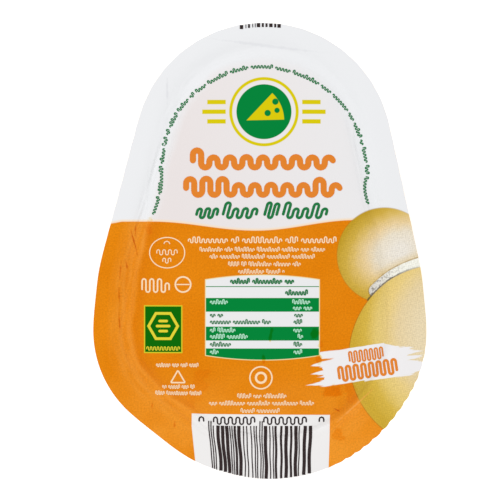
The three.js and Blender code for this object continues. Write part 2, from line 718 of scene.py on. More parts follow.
    def emblem(self, plan: Plan, paint: Paint) -> None:
        """Paints the medallion: a disc with a wedge on it, a ring, and bars at each side.

        Args:
            plan: The label's plan.
            paint: What it is painted on.
        """
        reach = plan.reach(self.medal)
        ring = (reach - self.medal_ring).size().below(self.medal_ring_half)
        paint.over(ring.inside(), Tint.MEDAL_MARK)
        paint.over(reach.below(self.medal_radius).inside(), Tint.MEDAL)
        wide = (plan.x - self.medal[0]).size()
        for lift, half in self.medal_bars:
            row = (plan.y - (self.medal[1] + lift)).size().below(self.medal_bar_half)
            bar = (wide - (self.medal_bar_start + half)).size().below(half).both(row)
            paint.over(bar.inside(), Tint.MEDAL_MARK)
        tip = (self.medal[0] + self.wedge_tip[0], self.medal[1] + self.wedge_tip[1])
        along, across = plan.turned(tip, self.wedge_turn)
        wedge = (along * self.wedge_slope - across.size()).both(plan.reach(tip).below(self.wedge_length))
        for x, y, radius in self.wedge_holes:
            hole = plan.disc((self.medal[0] + x, self.medal[1] + y), radius)
            wedge = wedge.both(hole * -1.0)
        paint.over(wedge.inside(), Tint.MEDAL_MARK)

    def lobes(self, plan: Plan, paint: Paint) -> None:
        """Paints the two lobes of a pictured cheese and the pale tie between them.

        Args:
            plan: The label's plan.
            paint: What it is painted on.
        """
        streaks = (plan.cloud(2.4, 2.0, 5.0) - 0.5) * 1.6
        upper = self.upper_lobe.disc(plan)
        paint.over((upper + 0.15).inside(SOFT) * 0.35, Tint.UPPER_RIM)
        paint.over(upper.inside(SOFTER), self.upper_lobe.shading(plan, streaks))
        lower = self.lower_lobe.disc(plan)
        self.tie(plan, paint, upper, lower)
        paint.over((lower + 0.18).inside(SOFT) * 0.5, Tint.LOWER_RIM)
        paint.over(lower.inside(SOFT), self.lower_lobe.shading(plan, streaks))

    def tie(self, plan: Plan, paint: Paint, upper: Field, lower: Field) -> None:
        """Paints the tie, its shadow, and the dark fold between it and the lower lobe.

        Args:
            plan: The label's plan.
            paint: What it is painted on.
            upper: How far a point is inside the upper lobe.
            lower: How far a point is inside the lower lobe.
        """
        outer = plan.disc(self.tie_circle, self.tie_radius)
        beyond, _ = plan.turned(self.tie_end, self.tie_turn)
        tie = outer.both(beyond.either(plan.disc(self.tie_end, self.tie_end_radius)))
        shadow = outer.share(-2.4, -0.2) * upper.inside(SOFTER) * plan.x.share(33.0, 36.0)
        paint.over(shadow * 0.4, Tint.TIE_SHADOW)
        across = {0: plan.x.share(*self.tie_run)}
        ramp = add_node(plan.tree, "ShaderNodeValToRGB", across, stops=self.tie_stops)
        paint.over(tie.inside(SOFT), ramp.outputs[0])
        specks = plan.cloud(0.7, 1.0, 9.0).share(0.5, 0.62) * plan.x.share(46.0, 33.0)
        paint.over(tie.inside(SOFT) * specks * 0.85, Tint.TIE_SPECK)
        uneven = plan.cloud(1.1, 2.0, 15.0) - 0.5
        above = (tie + 0.15).size().below(0.14) + uneven * 0.5
        paint.over(above.inside(SOFT) * upper.inside(SOFTER) * 0.55, Tint.TIE_LINE)
        fold = ((lower + 0.25).size().below(0.22) + uneven * 0.5).both(upper.either(tie) + 0.3)
        paint.over(fold.inside(0.25) * plan.x.share(49.0, 40.0) * 0.85, Tint.LOBE_FOLD)

    def screen(self, plan: Plan, paint: Paint) -> None:
        """Paints the fine dots of the printing screen over the pictured cheese.

        The real screen is about 0.4 mm, too fine to show, so its pitch here is 0.8 mm.

        Args:
            plan: The label's plan.
            paint: What it is painted on.
        """
        unit = self.screen_pitch / math.tau
        left, right = plan.turned((0.0, 0.0), self.screen_turn, (unit, unit))
        dots = left.apply("SINE") * right.apply("SINE")
        area = self.upper_lobe.disc(plan).either(self.lower_lobe.disc(plan))
        paint.over(area.inside(1.0) * (dots * 0.1 + 0.08), Tint.SCREEN, "MULTIPLY")

    def orange_field(self, plan: Plan, paint: Paint, wave: Field, ragged: Field, inset: Field) -> None:
        """Paints the orange, with painted sheen where the film slopes into the moat, painted shade just
        inside the cheese's shoulder where the film also clings, and painted sheen towards the foot.

        Args:
            plan: The label's plan.
            paint: What it is painted on.
            wave: How far a point is below the wavy line.
            ragged: The distance in from the cut edge, made uneven.
            inset: The distance in from the cut edge.
        """
        orange = wave.inside(SOFT)
        paint.over(wave.share(-0.85, -0.2) * 0.85, Tint.WAVE_EDGE)
        mottle = {0: plan.cloud(14.0, 3.0, 1.0)}
        ground = add_node(plan.tree, "ShaderNodeValToRGB", mottle, stops=self.orange_stops)
        paint.over(orange, ground.outputs[0])
        folds = plan.drift(inset / 1.3, plan.x / 9.0, plan.y / 9.0, scale=1.0, detail=2.0)
        # painted sheen on the moat's slope, broken up along the film's wrinkles
        start, end = self.drawn_in
        drawn = ragged.share(*start) * ragged.share(*end)
        paint.over(drawn * (folds.share(0.3, 0.7) * 0.7 + 0.3) * orange * 0.85, Tint.DRAWN_IN)
        # painted shade, deepest just inside the cheese's shoulder and faint further in, where the film clings
        start, most = self.clings
        clinging_and_shade = ragged.share(*start) * (ragged.share(*most) * 0.35 + 0.12)
        paint.over(clinging_and_shade * orange * plan.y.share(*self.clinging_shade_above), Tint.CLINGING_AND_SHADE)
        # painted sheen towards the foot, in soft patches
        foot = plan.y.share(*self.foot_sheen) * plan.cloud(11.0, 2.0, 12.0).share(0.25, 0.6)
        paint.over(foot * orange * 0.85, Tint.FOOT_SHEEN)

    def wet_patches(self, plan: Plan, paint: Paint, soft: Field) -> None:
        """Deepens the colour where the film is wet right through.

        Args:
            plan: The label's plan.
            paint: What it is painted on.
            soft: Wide soft noise from 0 to 1.
        """
        rough = plan.cloud(2.2, 3.0, 7.0)
        for spot in self.blotches:
            wet = (spot.oval(plan) + (rough - 0.5) * 2.6 + (soft - 0.5) * 0.8).below(1.0)
            paint.over(wet.share(-0.15, 0.25) * spot.strength, Tint.WET, "MULTIPLY")

    def crease_shade_and_highlight(self, plan: Plan, paint: Paint) -> None:
        """Paints shade along the film's sharp creases, and a painted highlight along the raised one.

        Args:
            plan: The label's plan.
            paint: What it is painted on.
        """
        uneven = (plan.cloud(1.2, 2.0, 14.0) - 0.5) * 1.8
        for crease in self.creases:
            paint.over((crease.oval(plan) + uneven).share(1.1, 0.4), crease.shade, "MULTIPLY")
        # the painted highlight on the raised crease
        paint.over((self.streak.oval(plan) + uneven).share(1.1, 0.4) * 0.6, self.streak.shade)

    def colour(self, tree: bpy.types.NodeTree) -> bpy.types.NodeSocket:
        """Lays down the whole label.

        Args:
            tree: The film's node tree.

        Returns:
            The socket that carries the label's colour.
        """
        plan = Plan(tree)
        wave = self.wave(plan)
        inset = Field.of(tree, "ShaderNodeAttribute", {}, "Fac", attribute_name="inset")
        soft = plan.cloud(9.0, 2.0, 3.0)
        touch = (inset + (soft - 0.5) * 3.0).share(10.0, 13.5)
        paint = Paint(tree, linear(Tint.FILM.value))
        paint.over(touch * (plan.x.share(30.0, -25.0) * 0.75 + 0.25), Tint.TOUCHED_FILM, "MULTIPLY")
        self.orange_field(plan, paint, wave, inset + (soft - 0.5) * 2.2, inset)
        self.lobes(plan, paint)
        self.screen(plan, paint)
        grain = (plan.cloud(0.5, 1.0, 17.0) - 0.5) * 0.5 + 1.0
        paint.over(wave.inside(SOFT), grain, "MULTIPLY")
        paint.over(self.brushed_banner(plan).inside(SOFT), Tint.BRUSHED)
        paint.over(self.table(plan, self.table_border).inside(), Tint.TABLE_EDGE)
        table = self.table(plan, 0.0)
        paint.over(table.inside(), Tint.TABLE)
        paint.over(self.bands(plan).both(table).inside(), Tint.TABLE_ROW)
        paint.over(self.foot_panel(plan).inside(), Tint.FOOT_PANEL)
        paint.over(plan.box(self.panel, self.panel_half).inside(), Tint.SIDE_EDGE)
        inner = tuple(half - self.panel_border for half in self.panel_half)
        paint.over(plan.box(self.panel, inner).inside(), Tint.SIDE_PANEL)
        self.wet_patches(plan, paint, soft)
        self.emblem(plan, paint)
        self.crease_shade_and_highlight(plan, paint)
        return paint.coat


@dataclass(frozen=True)
class LiddingFilm:
    """Satin white polyester lidding film, printed and sealed flat.

    A smooth plastic film scatters its colour softly and keeps a faint wide sheen.
    """

    roughness: float = 0.42
    ior: float = 1.45
    specular: float = 0.05
    bump_height: float = 0.05
    ripple: float = 2.6
    back_colour: str = "#E9E8E6"
    label: LabelColours = field(default_factory=LabelColours)

    def printed(self) -> bpy.types.Material:
        """Makes the printed face.

        Returns:
            The material.
        """
        material, tree, shader = new_material("printed_satin_lidding_film")
        self.dress(tree, shader, self.label.colour(tree))
        return material

    def plain_back(self) -> bpy.types.Material:
        """Makes the unprinted underside, which shows through the clear base.

        Returns:
            The material.
        """
        material, tree, shader = new_material("plain_back_of_lidding_film")
        self.dress(tree, shader, linear(self.back_colour))
        return material

    def dress(
        self, tree: bpy.types.NodeTree, shader: bpy.types.Node, colour: tuple | bpy.types.NodeSocket
    ) -> None:
        """Gives one face its colour, the sheen and the faint ripple of drawn film.

        Args:
            tree: The material's node tree.
            shader: Its Principled shader.
            colour: A linear colour, or a socket that carries one.
        """
        place = add_node(tree, "ShaderNodeTexCoord").outputs["Object"]
        feeds = {"Vector": place, "Scale": 1.0 / (self.ripple * MM), "Detail": 3.0}
        ripples = add_node(tree, "ShaderNodeTexNoise", feeds).outputs[0]
        feeds = {"Strength": 0.5, "Distance": self.bump_height * MM, "Height": ripples}
        feed(
            shader,
            {
                "Base Color": colour,
                "Roughness": self.roughness,
                "IOR": self.ior,
                "Specular IOR Level": self.specular,
                "Normal": add_node(tree, "ShaderNodeBump", feeds).outputs[0],
            },
        )


@dataclass(frozen=True)
class PrintInk:
    """Solvent ink on film, laid by gravure: as satin as the film, and a little uneven."""

    ink: Ink
    roughness: float = 0.42
    specular: float = 0.05
    mottle: float = 0.9
    mottle_strength: float = 0.03

    def material(self) -> bpy.types.Material:
        """Makes the ink.

        Returns:
            The material.
        """
        material, tree, shader = new_material(f"{self.ink.name.lower()}_gravure_ink")
        paint = Paint(tree, linear(self.ink.value))
        paint.over(Plan(tree).cloud(self.mottle, 2.0, 2.0) * self.mottle_strength, "#FFFFFF")
        feeds = {"Base Color": paint.coat, "Roughness": self.roughness, "Specular IOR Level": self.specular}
        feed(shader, feeds)
        return material


@dataclass(frozen=True)
class ClearFormedFilm:
    """Thermoformed polyamide and polyethylene base film.

    It is clear, with a faint gloss that grows towards its edge, and a painted highlight
    along the crests of its pleats.
    """

    roughness: float = 0.06
    straight_gloss: float = 0.035
    grazing_gloss: float = 0.34
    buckle: float = 7.0
    buckle_height: float = 0.35
    crest: float = 0.09
    crest_glint_strength: float = 0.24

    def material(self) -> bpy.types.Material:
        """Makes film that passes light, mirrors the studio faintly and has painted highlights on its pleat
        crests.

        Returns:
            The material.
        """
        material, tree, shader = new_material("clear_thermoformed_film")
        tree.nodes.remove(shader)
        clear = add_node(tree, "ShaderNodeBsdfTransparent", {"Color": linear("#FBFAF6")})
        place = add_node(tree, "ShaderNodeTexCoord").outputs["Object"]
        feeds = {"Vector": place, "Scale": 1.0 / (self.buckle * MM), "Detail": 2.0, "Distortion": 0.6}
        waves = add_node(tree, "ShaderNodeTexNoise", feeds).outputs[0]
        feeds = {"Strength": 0.7, "Distance": self.buckle_height * MM, "Height": waves}
        bump = add_node(tree, "ShaderNodeBump", feeds).outputs[0]
        feeds = {"Color": linear("#FFFFFF"), "Roughness": self.roughness, "Normal": bump}
        gloss = add_node(tree, "ShaderNodeBsdfGlossy", feeds)
        edge_on = Field.of(tree, "ShaderNodeLayerWeight", {"Blend": 0.5}, "Facing")
        mirrored = edge_on.apply("POWER", 4.0) * self.grazing_gloss + self.straight_gloss
        fold = Field.of(tree, "ShaderNodeAttribute", {}, "Fac", attribute_name="fold")
        pleated = Field.of(tree, "ShaderNodeAttribute", {}, "Fac", attribute_name="pleated")
        # painted highlight: a white diffuse sheet on the pleat crests, standing for their glints
        painted_glint = fold.size().share(self.crest, 0.0) * pleated * self.crest_glint_strength
        glint_white = add_node(tree, "ShaderNodeBsdfDiffuse", {"Color": linear("#F6F4EE")})
        feeds = {0: painted_glint, 1: clear.outputs[0], 2: glint_white.outputs[0]}
        film = add_node(tree, "ShaderNodeMixShader", feeds)
        feeds = {0: mirrored, 1: film.outputs[0], 2: gloss.outputs[0]}
        shiny = add_node(tree, "ShaderNodeMixShader", feeds)
        feed(tree.nodes["Material Output"], {"Surface": shiny.outputs[0]})
        return material


@dataclass(frozen=True)
class SmokedRind:
    """The smoked rind of a stretched-curd cheese.

    It is smooth, waxy and amber, uneven in tone where the smoke took, with the long
    fibres of the pulled curd and fine dark pores.
    """

    blotch: float = 16.0
    streak: float = 3.2
    streak_pull: float = 0.28
    pore: float = 0.8
    roughness: float = 0.4
    relief: float = 0.25
    smoke_stops: tuple[Stop, ...] = ((0.34, "#B57A2C"), (0.5, "#D09A44"), (0.66, "#E0B768"))
    scatter_radius: tuple[float, float, float] = (4.0, 2.0, 0.8)

    def material(self) -> bpy.types.Material:
        """Makes the rind.

        Returns:
            The material.
        """
        material, tree, shader = new_material("smoked_stretched_curd_rind")
        place = add_node(tree, "ShaderNodeTexCoord").outputs["Object"]
        feeds = {"Vector": place, "Scale": 1.0 / (self.blotch * MM), "Detail": 4.0, "Distortion": 0.8}
        smoke = add_node(tree, "ShaderNodeTexNoise", feeds).outputs[0]
        tone = add_node(tree, "ShaderNodeValToRGB", {0: smoke}, stops=self.smoke_stops)
        feeds = {"Vector": place, "Scale": (1.0, self.streak_pull, 1.0)}
        pulled = add_node(tree, "ShaderNodeMapping", feeds).outputs[0]
        feeds = {"Vector": pulled, "Scale": 1.0 / (self.streak * MM), "Detail": 8.0, "Roughness": 0.62}
        fibres = Field.of(tree, "ShaderNodeTexNoise", feeds)
        feeds = {"Vector": place, "Scale": 1.0 / (self.pore * MM), "Detail": 3.0}
        pores = Field.of(tree, "ShaderNodeTexNoise", feeds)
        paint = Paint(tree, tone.outputs[0])
        paint.over(fibres.share(0.45, 0.7) * 0.42, "#B0742E")
        paint.over(pores.share(0.56, 0.7) * 0.3, "#8F5A20")
        feeds = {"Strength": 0.6, "Distance": self.relief * MM, "Height": fibres + pores * 0.08}
        feed(
            shader,
            {
                "Base Color": paint.coat,
                "Roughness": self.roughness,
                "Subsurface Weight": 0.15,
                "Subsurface Radius": tuple(reach * MM for reach in self.scatter_radius),
                "Subsurface Scale": 1.0,
                "Normal": add_node(tree, "ShaderNodeBump", feeds).outputs[0],
            },
        )
        return material


# ---------------------------------------------------------------- modelling by hand, in code


def select_only(piece: bpy.types.Object) -> None:
    """Makes one object the only one that an operator acts on.

    Args:
        piece: The object.
    """
    bpy.ops.object.select_all(action="DESELECT")
    piece.select_set(True)
    bpy.context.view_layer.objects.active = piece


@contextmanager
def editing(piece: bpy.types.Object) -> Iterator[None]:
    """Enters edit mode on one object, and leaves it again.

    Args:
        piece: The object.

    Yields:
        Nothing, while the object is in edit mode.
    """
    select_only(piece)
    bpy.ops.object.mode_set(mode="EDIT")
    yield
    bpy.ops.object.mode_set(mode="OBJECT")


def read_values(
    items: bpy.types.bpy_prop_collection, name: str, width: int = 3, kind: type = float
) -> np.ndarray:
    """Reads one property of every item of a mesh.

    Args:
        items: The mesh's vertices, edges, loops or polygons.
        name: The property, such as "co" or "normal".
        width: How many numbers it has.
        kind: What the numbers are.

    Returns:
        One row for each item.
    """
    flat = np.empty(len(items) * width, kind)
    items.foreach_get(name, flat)
    return flat.reshape(-1, width)


def read_points(piece: bpy.types.Object) -> np.ndarray:
    """The vertices of a mesh, in millimetres."""
    return read_values(piece.data.vertices, "co") / MM


def write_points(piece: bpy.types.Object, points: np.ndarray) -> None:
    """Moves the vertices of a mesh to these places, in millimetres."""
    piece.data.vertices.foreach_set("co", (points * MM).ravel())
    piece.data.update()


def store_values(piece: bpy.types.Object, name: str, values: np.ndarray) -> None:
    """Keeps one number for each vertex of a mesh, where a material can read it."""
    store = piece.data.attributes.new(name, "FLOAT", "POINT")
    store.data.foreach_set("value", values.astype(np.float32))


def face_centres(piece: bpy.types.Object) -> np.ndarray:
    """The centres of a mesh's faces, in millimetres."""
    return read_values(piece.data.polygons, "center") / MM


def face_normals(piece: bpy.types.Object) -> np.ndarray:
    """The normals of a mesh's faces."""
    return read_values(piece.data.polygons, "normal")


def pick_faces(piece: bpy.types.Object, picked: np.ndarray) -> None:
    """Selects just these faces of a mesh, with their edges and corners.

    Args:
        piece: The object, in object mode.
        picked: One truth value for each face.
    """
    with editing(piece):
        bpy.ops.mesh.select_mode(type="FACE")
        bpy.ops.mesh.select_all(action="DESELECT")
    piece.data.polygons.foreach_set("select", picked.astype(bool))


def drop_faces(piece: bpy.types.Object, picked: np.ndarray) -> None:
    """Deletes these faces of a mesh.

    Args:
        piece: The object.
        picked: One truth value for each face.
    """
    pick_faces(piece, picked)
    with editing(piece):
        bpy.ops.mesh.delete(type="FACE")


def apply_modifier(piece: bpy.types.Object, kind: str, **settings) -> None:
    """Adds a modifier with its settings and applies it.

    Args:
        piece: The object.
        kind: The modifier's type name.
        **settings: Its properties.
    """
    select_only(piece)
    modifier = piece.modifiers.new(kind.lower(), kind)
    for name, value in settings.items():
        setattr(modifier, name, value)
    bpy.ops.object.modifier_apply(modifier=modifier.name)


def skin_of_node(name: str, node: str) -> bpy.types.Object:
    """Copies a solid's mesh into a new object, and merges it into clean quads.

    Args:
        name: The new object's name.
        node: The solid's name.

    Returns:
        The new object.
    """
    piece = bpy.data.objects.new(name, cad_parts[node].data.copy())
    bpy.context.scene.collection.objects.link(piece)
    piece.data.materials.clear()
    with editing(piece):
        bpy.ops.mesh.select_mode(type="FACE")
        bpy.ops.mesh.select_all(action="SELECT")
        bpy.ops.mesh.remove_doubles(threshold=0.02 * MM)
        bpy.ops.mesh.tris_convert_to_quads(face_threshold=QUAD_ANGLE, shape_threshold=QUAD_ANGLE)
    return piece


def finish_piece(
    piece: bpy.types.Object, node: str, slot: str | None, *materials: bpy.types.Material
) -> None:
    """Dresses a piece, attaches it to the root and hides the solid that it replaces.

    Args:
        piece: The object.
        node: The solid that it replaces.
        slot: The record's material slot that it takes its finish from; it is not used.
        *materials: Its materials, in the order of its faces' numbers.
    """
    for material in materials:
        piece.data.materials.append(material)
    select_only(piece)
    bpy.ops.object.shade_smooth_by_angle(angle=SMOOTH_ANGLE)
    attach(piece, "root")
    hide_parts(node)
    LOG.info("%s: %d faces", piece.name, len(piece.data.polygons))


def smooth_step(value: np.ndarray, start: float, end: float) -> np.ndarray:
    """Goes smoothly from 0 at start to 1 at end."""
    share = np.clip((value - start) / (end - start), 0.0, 1.0)
    return share * share * (3.0 - 2.0 * share)


def plateau(value: np.ndarray, rise: float, high: float, fade: float, end: float) -> np.ndarray:
    """Goes smoothly from 0 at rise to 1 at high, and back to 0 between fade and end."""
    return smooth_step(value, rise, high) * (1.0 - smooth_step(value, fade, end))


def ripple(places: np.ndarray, seed: float) -> np.ndarray:
    """Gradient noise at many places.

    Args:
        places: Places in units of the noise's own grain, two numbers each.
        seed: Picks a layer of the noise.

    Returns:
        Numbers from about -1 to 1.
    """
    return np.array([noise.noise(Vector((float(u), float(v), seed))) for u, v in places])


def wobble(along: np.ndarray, grain: float, seed: float) -> np.ndarray:
    """Gradient noise along a line, whose blotches have this length."""
    return ripple(np.stack([along / grain, along * 0.0], axis=1), seed)


class EdgeMap:
    """Where a point lies against the pack's cut edge: how far along it, and how far in."""

    BATCH = 4000  # points measured at a time, to spare memory

    def __init__(self, loop: np.ndarray) -> None:
        """Keeps the closed outline, two numbers for each point, in millimetres.

        Args:
            loop: The outline, running to the left.
        """
        self.start = loop
        self.run = np.roll(loop, -1, axis=0) - loop
        self.length = np.hypot(self.run[:, 0], self.run[:, 1])
        self.before = np.concatenate([[0.0], np.cumsum(self.length)[:-1]])

    @classmethod
    def of_skin(cls, piece: bpy.types.Object) -> "EdgeMap":
        """Reads the outline of an open skin from its edges that have one face.

        Args:
            piece: The skin's object.

        Returns:
            The map of its outline.
        """
        ends = read_values(piece.data.edges, "vertices", 2, int)
        used = np.zeros(len(ends), int)
        np.add.at(used, read_values(piece.data.loops, "edge_index", 1, int)[:, 0], 1)
        rim = np.unique(ends[used == 1])
        points = read_points(piece)[rim, :2]
        return cls(points[np.argsort(np.arctan2(points[:, 1], points[:, 0]))])

    def measure(self, points: np.ndarray) -> tuple[np.ndarray, np.ndarray, np.ndarray]:
        """Measures points against the edge.

        Args:
            points: Two or three numbers for each point, in millimetres.

        Returns:
            The distance along the edge, the distance in from it, and the inward direction.
        """
        along = np.empty(len(points))
        inset = np.empty(len(points))
        inward = np.empty((len(points), 2))
        for first in range(0, len(points), self.BATCH):
            part = slice(first, first + self.BATCH)
            away = points[part, None, :2] - self.start[None]
            share = np.clip((away * self.run).sum(2) / self.length**2, 0.0, 1.0)
            gap = away - share[..., None] * self.run
            near = np.hypot(gap[..., 0], gap[..., 1])
            best = near.argmin(1)
            row = np.arange(len(best))
            along[part] = self.before[best] + share[row, best] * self.length[best]
            run = self.run[best] / self.length[best, None]
            inward[part] = np.stack([-run[:, 1], run[:, 0]], axis=1)
            side = (gap[row, best] * inward[part]).sum(1)
            inset[part] = np.where(side < 0.0, -1.0, 1.0) * near[row, best]
        return along, inset, inward


@dataclass
class Relief:
    """How the flat rim waves and the drawn-in film wrinkles, in millimetres."""

    edge: EdgeMap
    rim_flat: Place = (3.0, 9.0)
    rim_wave: float = 0.22
    rim_wavelength: float = 27.0
    wrinkle: float = 0.2
    wrinkle_length: float = 10.0
    wrinkle_width: float = 1.3
    wrinkle_bend: float = 0.6
    moat: tuple[float, float, float, float] = (5.5, 8.0, 12.0, 16.5)
    crown_wave: float = 0.14
    crown_grain: float = 19.0
    crown_inset: Place = (9.0, 16.0)
    streak_start: Place = (33.5, -41.8)
    streak_end: Place = (19.5, -52.5)
    streak_height: float = 0.1
    streak_width: float = 0.6

    def lift(self, points: np.ndarray) -> np.ndarray:
        """How far the film is raised at each point of the plan.

        Args:
            points: Two or three numbers for each point.

        Returns:
            The rise, in millimetres.
        """
        along, inset, _ = self.edge.measure(points)
        whole = self.edge.length.sum()
        turn = along / whole * math.tau
        reach = whole / self.rim_wavelength / math.tau
        round_trip = np.stack([np.cos(turn) * reach, np.sin(turn) * reach], axis=1)
        flat = 1.0 - smooth_step(inset, *self.rim_flat)
        rim = ripple(round_trip, 4.0) * self.rim_wave * flat
        grain = np.stack([along / self.wrinkle_length, inset / self.wrinkle_width], axis=1)
        bent = grain + self.wrinkle_bend * ripple(grain * (0.7, 0.35), 8.0)[:, None] * (0.0, 1.0)
        fold = 1.0 - 2.0 * np.abs(ripple(bent, 11.0))
        sides = 0.45 + 0.55 * smooth_step(-points[:, 0], 5.0, 35.0)
        wrinkles = (fold - 0.5) * self.wrinkle * plateau(inset, *self.moat) * sides
        swell = ripple(points[:, :2] / self.crown_grain, 15.0)
        crown = swell * self.crown_wave * smooth_step(inset, *self.crown_inset)
        return rim + wrinkles + crown + self.streak(points)

    def streak(self, points: np.ndarray) -> np.ndarray:
        """The sharp crease that runs slantwise at the lower right.

        Args:
            points: Two or three numbers for each point.

        Returns:
            The rise, in millimetres.
        """
        start = np.array(self.streak_start)
        run = np.array(self.streak_end) - start
        share = np.clip(((points[:, :2] - start) @ run) / (run @ run), 0.0, 1.0)
        gap = np.hypot(*(points[:, :2] - start - share[:, None] * run).T)
        ridge = np.exp(-((gap / self.streak_width) ** 2))
        return self.streak_height * ridge * np.sin(np.pi * share) ** 0.5


@dataclass
class PrintedLid:
    """The printed top film: sealed rim, drawn-in moat, crown over the cheese."""

    thickness: float = 0.12
    levels: int = 3
    scallop_from: float = -69.0
    scallop_to: float = -35.0
    scallop_pitch: float = 3.5
    scallop_unevenness: float = 0.8
    scallop_depth: float = 0.34
    facet_pitch: float = 6.5
    facet_depth: float = 0.12
    spare_from: float = -112.0
    spare_to: float = -12.0
    spare_fade: float = 12.0
    spare_width: float = 0.32
    trim_reach: float = 2.0
    film: LiddingFilm = field(default_factory=LiddingFilm)
    edge: EdgeMap | None = None
    relief: Relief | None = None
    skin: bpy.types.Object | None = None

    def build(self) -> bpy.types.Object:
        """Models the film.

        Returns:
            The film's object.
        """
        piece = skin_of_node("printed_lid", "lid_film")
        drop_faces(piece, face_normals(piece)[:, 2] < FACES_UP)
        apply_modifier(piece, "SUBSURF", levels=self.levels, render_levels=self.levels)
        self.edge = EdgeMap.of_skin(piece)
        self.relief = Relief(self.edge)
        points = read_points(piece)
        along, inset, inward = self.edge.measure(points)
        points[:, 2] += self.relief.lift(points)
        near = 1.0 - smooth_step(inset, 0.0, self.trim_reach)
        points[:, :2] += inward * (self.trim(points, along) * near)[:, None]
        write_points(piece, points)
        store_values(piece, "inset", inset)
        self.skin = piece.copy()
        self.skin.data = piece.data.copy()
        apply_modifier(piece, "SOLIDIFY", thickness=self.thickness * MM, offset=-1.0, material_offset=1)
        finish_piece(piece, "lid_film", "printed_film", self.film.printed(), self.film.plain_back())
        return piece

    def trim(self, points: np.ndarray, along: np.ndarray) -> np.ndarray:
        """How far the knife cut in: scallops at the lower right, faint flats elsewhere.

        Args:
            points: The film's points.
            along: How far each lies along the edge.

        Returns:
            The inward moves, below zero where the knife left a little more film.
        """
        angle = np.degrees(np.arctan2(points[:, 1], points[:, 0]))
        start, end = self.scallop_from, self.scallop_to
        scalloped = plateau(angle, start - 6, start + 4, end - 4, end + 8)
        uneven = self.scallop_unevenness * wobble(along, 9.0, 21.0)
        phase = math.pi * along / self.scallop_pitch + uneven
        scallops = (1.0 - np.abs(np.sin(phase))) * self.scallop_depth
        flats = np.abs(np.sin(math.pi * along / self.facet_pitch)) * self.facet_depth
        upper = smooth_step(points[:, 1], 0.0, 15.0)
        start, end, fade = self.spare_from, self.spare_to, self.spare_fade
        spare = plateau(angle, start, start + fade, end - fade, end)
        return scalloped * scallops + upper * flats - spare * self.spare_width


@dataclass
class FormedBase:
    """The clear base film: flat rim, short pleats below it, deep round bowl."""

    relief: Relief
    thickness: float = 0.15
    rise: float = 1.0
    rise_reach: float = 16.0
    rim_reach: float = 2.0
    levels: int = 2
    pleat_length: float = 6.5
    pleat_slant: float = 60.0
    pleat_depth: float = 0.5
    pleat_reach: float = 17.0
    pleat_grain: float = 8.0
    rim_height: float = 0.0
    finish: ClearFormedFilm = field(default_factory=ClearFormedFilm)

    def build(self) -> bpy.types.Object:
        """Models the film.

        Returns:
            The film's object.
        """
        piece = skin_of_node("formed_base_film", "filled_base")
        rim = self.rim_height = self.rim_underside(piece)
        above = face_centres(piece)[:, 2] > rim + ABOVE_RIM
        drop_faces(piece, above | (face_normals(piece)[:, 2] > FACES_UP))
        apply_modifier(piece, "SUBSURF", levels=self.levels, render_levels=self.levels)
        points = read_points(piece)
        points[:, 2] += self.rise * smooth_step(points[:, 2], rim - self.rise_reach, rim - 0.2)
        on_rim = smooth_step(points[:, 2], rim - self.rim_reach, rim)
        points[:, 2] += self.relief.lift(points) * on_rim
        along, _, inward = self.relief.edge.measure(points)
        low = rim + self.rise - points[:, 2]
        ends = self.pleat_reach * (0.75 + 0.8 * wobble(along, self.pleat_grain, 33.0))
        pleated = smooth_step(low, 0.3, 2.0) * (1.0 - smooth_step(low / ends, 0.2, 1.0))
        fold = ripple(np.stack([along / self.pleat_length, low / self.pleat_slant], axis=1), 31.0)
        points[:, :2] += inward * (np.abs(fold) * self.pleat_depth * pleated)[:, None]
        write_points(piece, points)
        store_values(piece, "fold", fold)
        store_values(piece, "pleated", pleated)
        apply_modifier(piece, "SOLIDIFY", thickness=self.thickness * MM, offset=-1.0)
        finish_piece(piece, "filled_base", "clear_film", self.finish.material())
        return piece

    @staticmethod
    def rim_underside(piece: bpy.types.Object) -> float:
        """The height of the flat underside of the rim, from the outermost low ring.

        Args:
            piece: The copied solid.

        Returns:
            The height, in millimetres.
        """
        points = read_points(piece)
        reach = np.hypot(points[:, 0], points[:, 1])
        outer = points[reach > reach.max() - 0.5]
        return float(outer[:, 2].min())


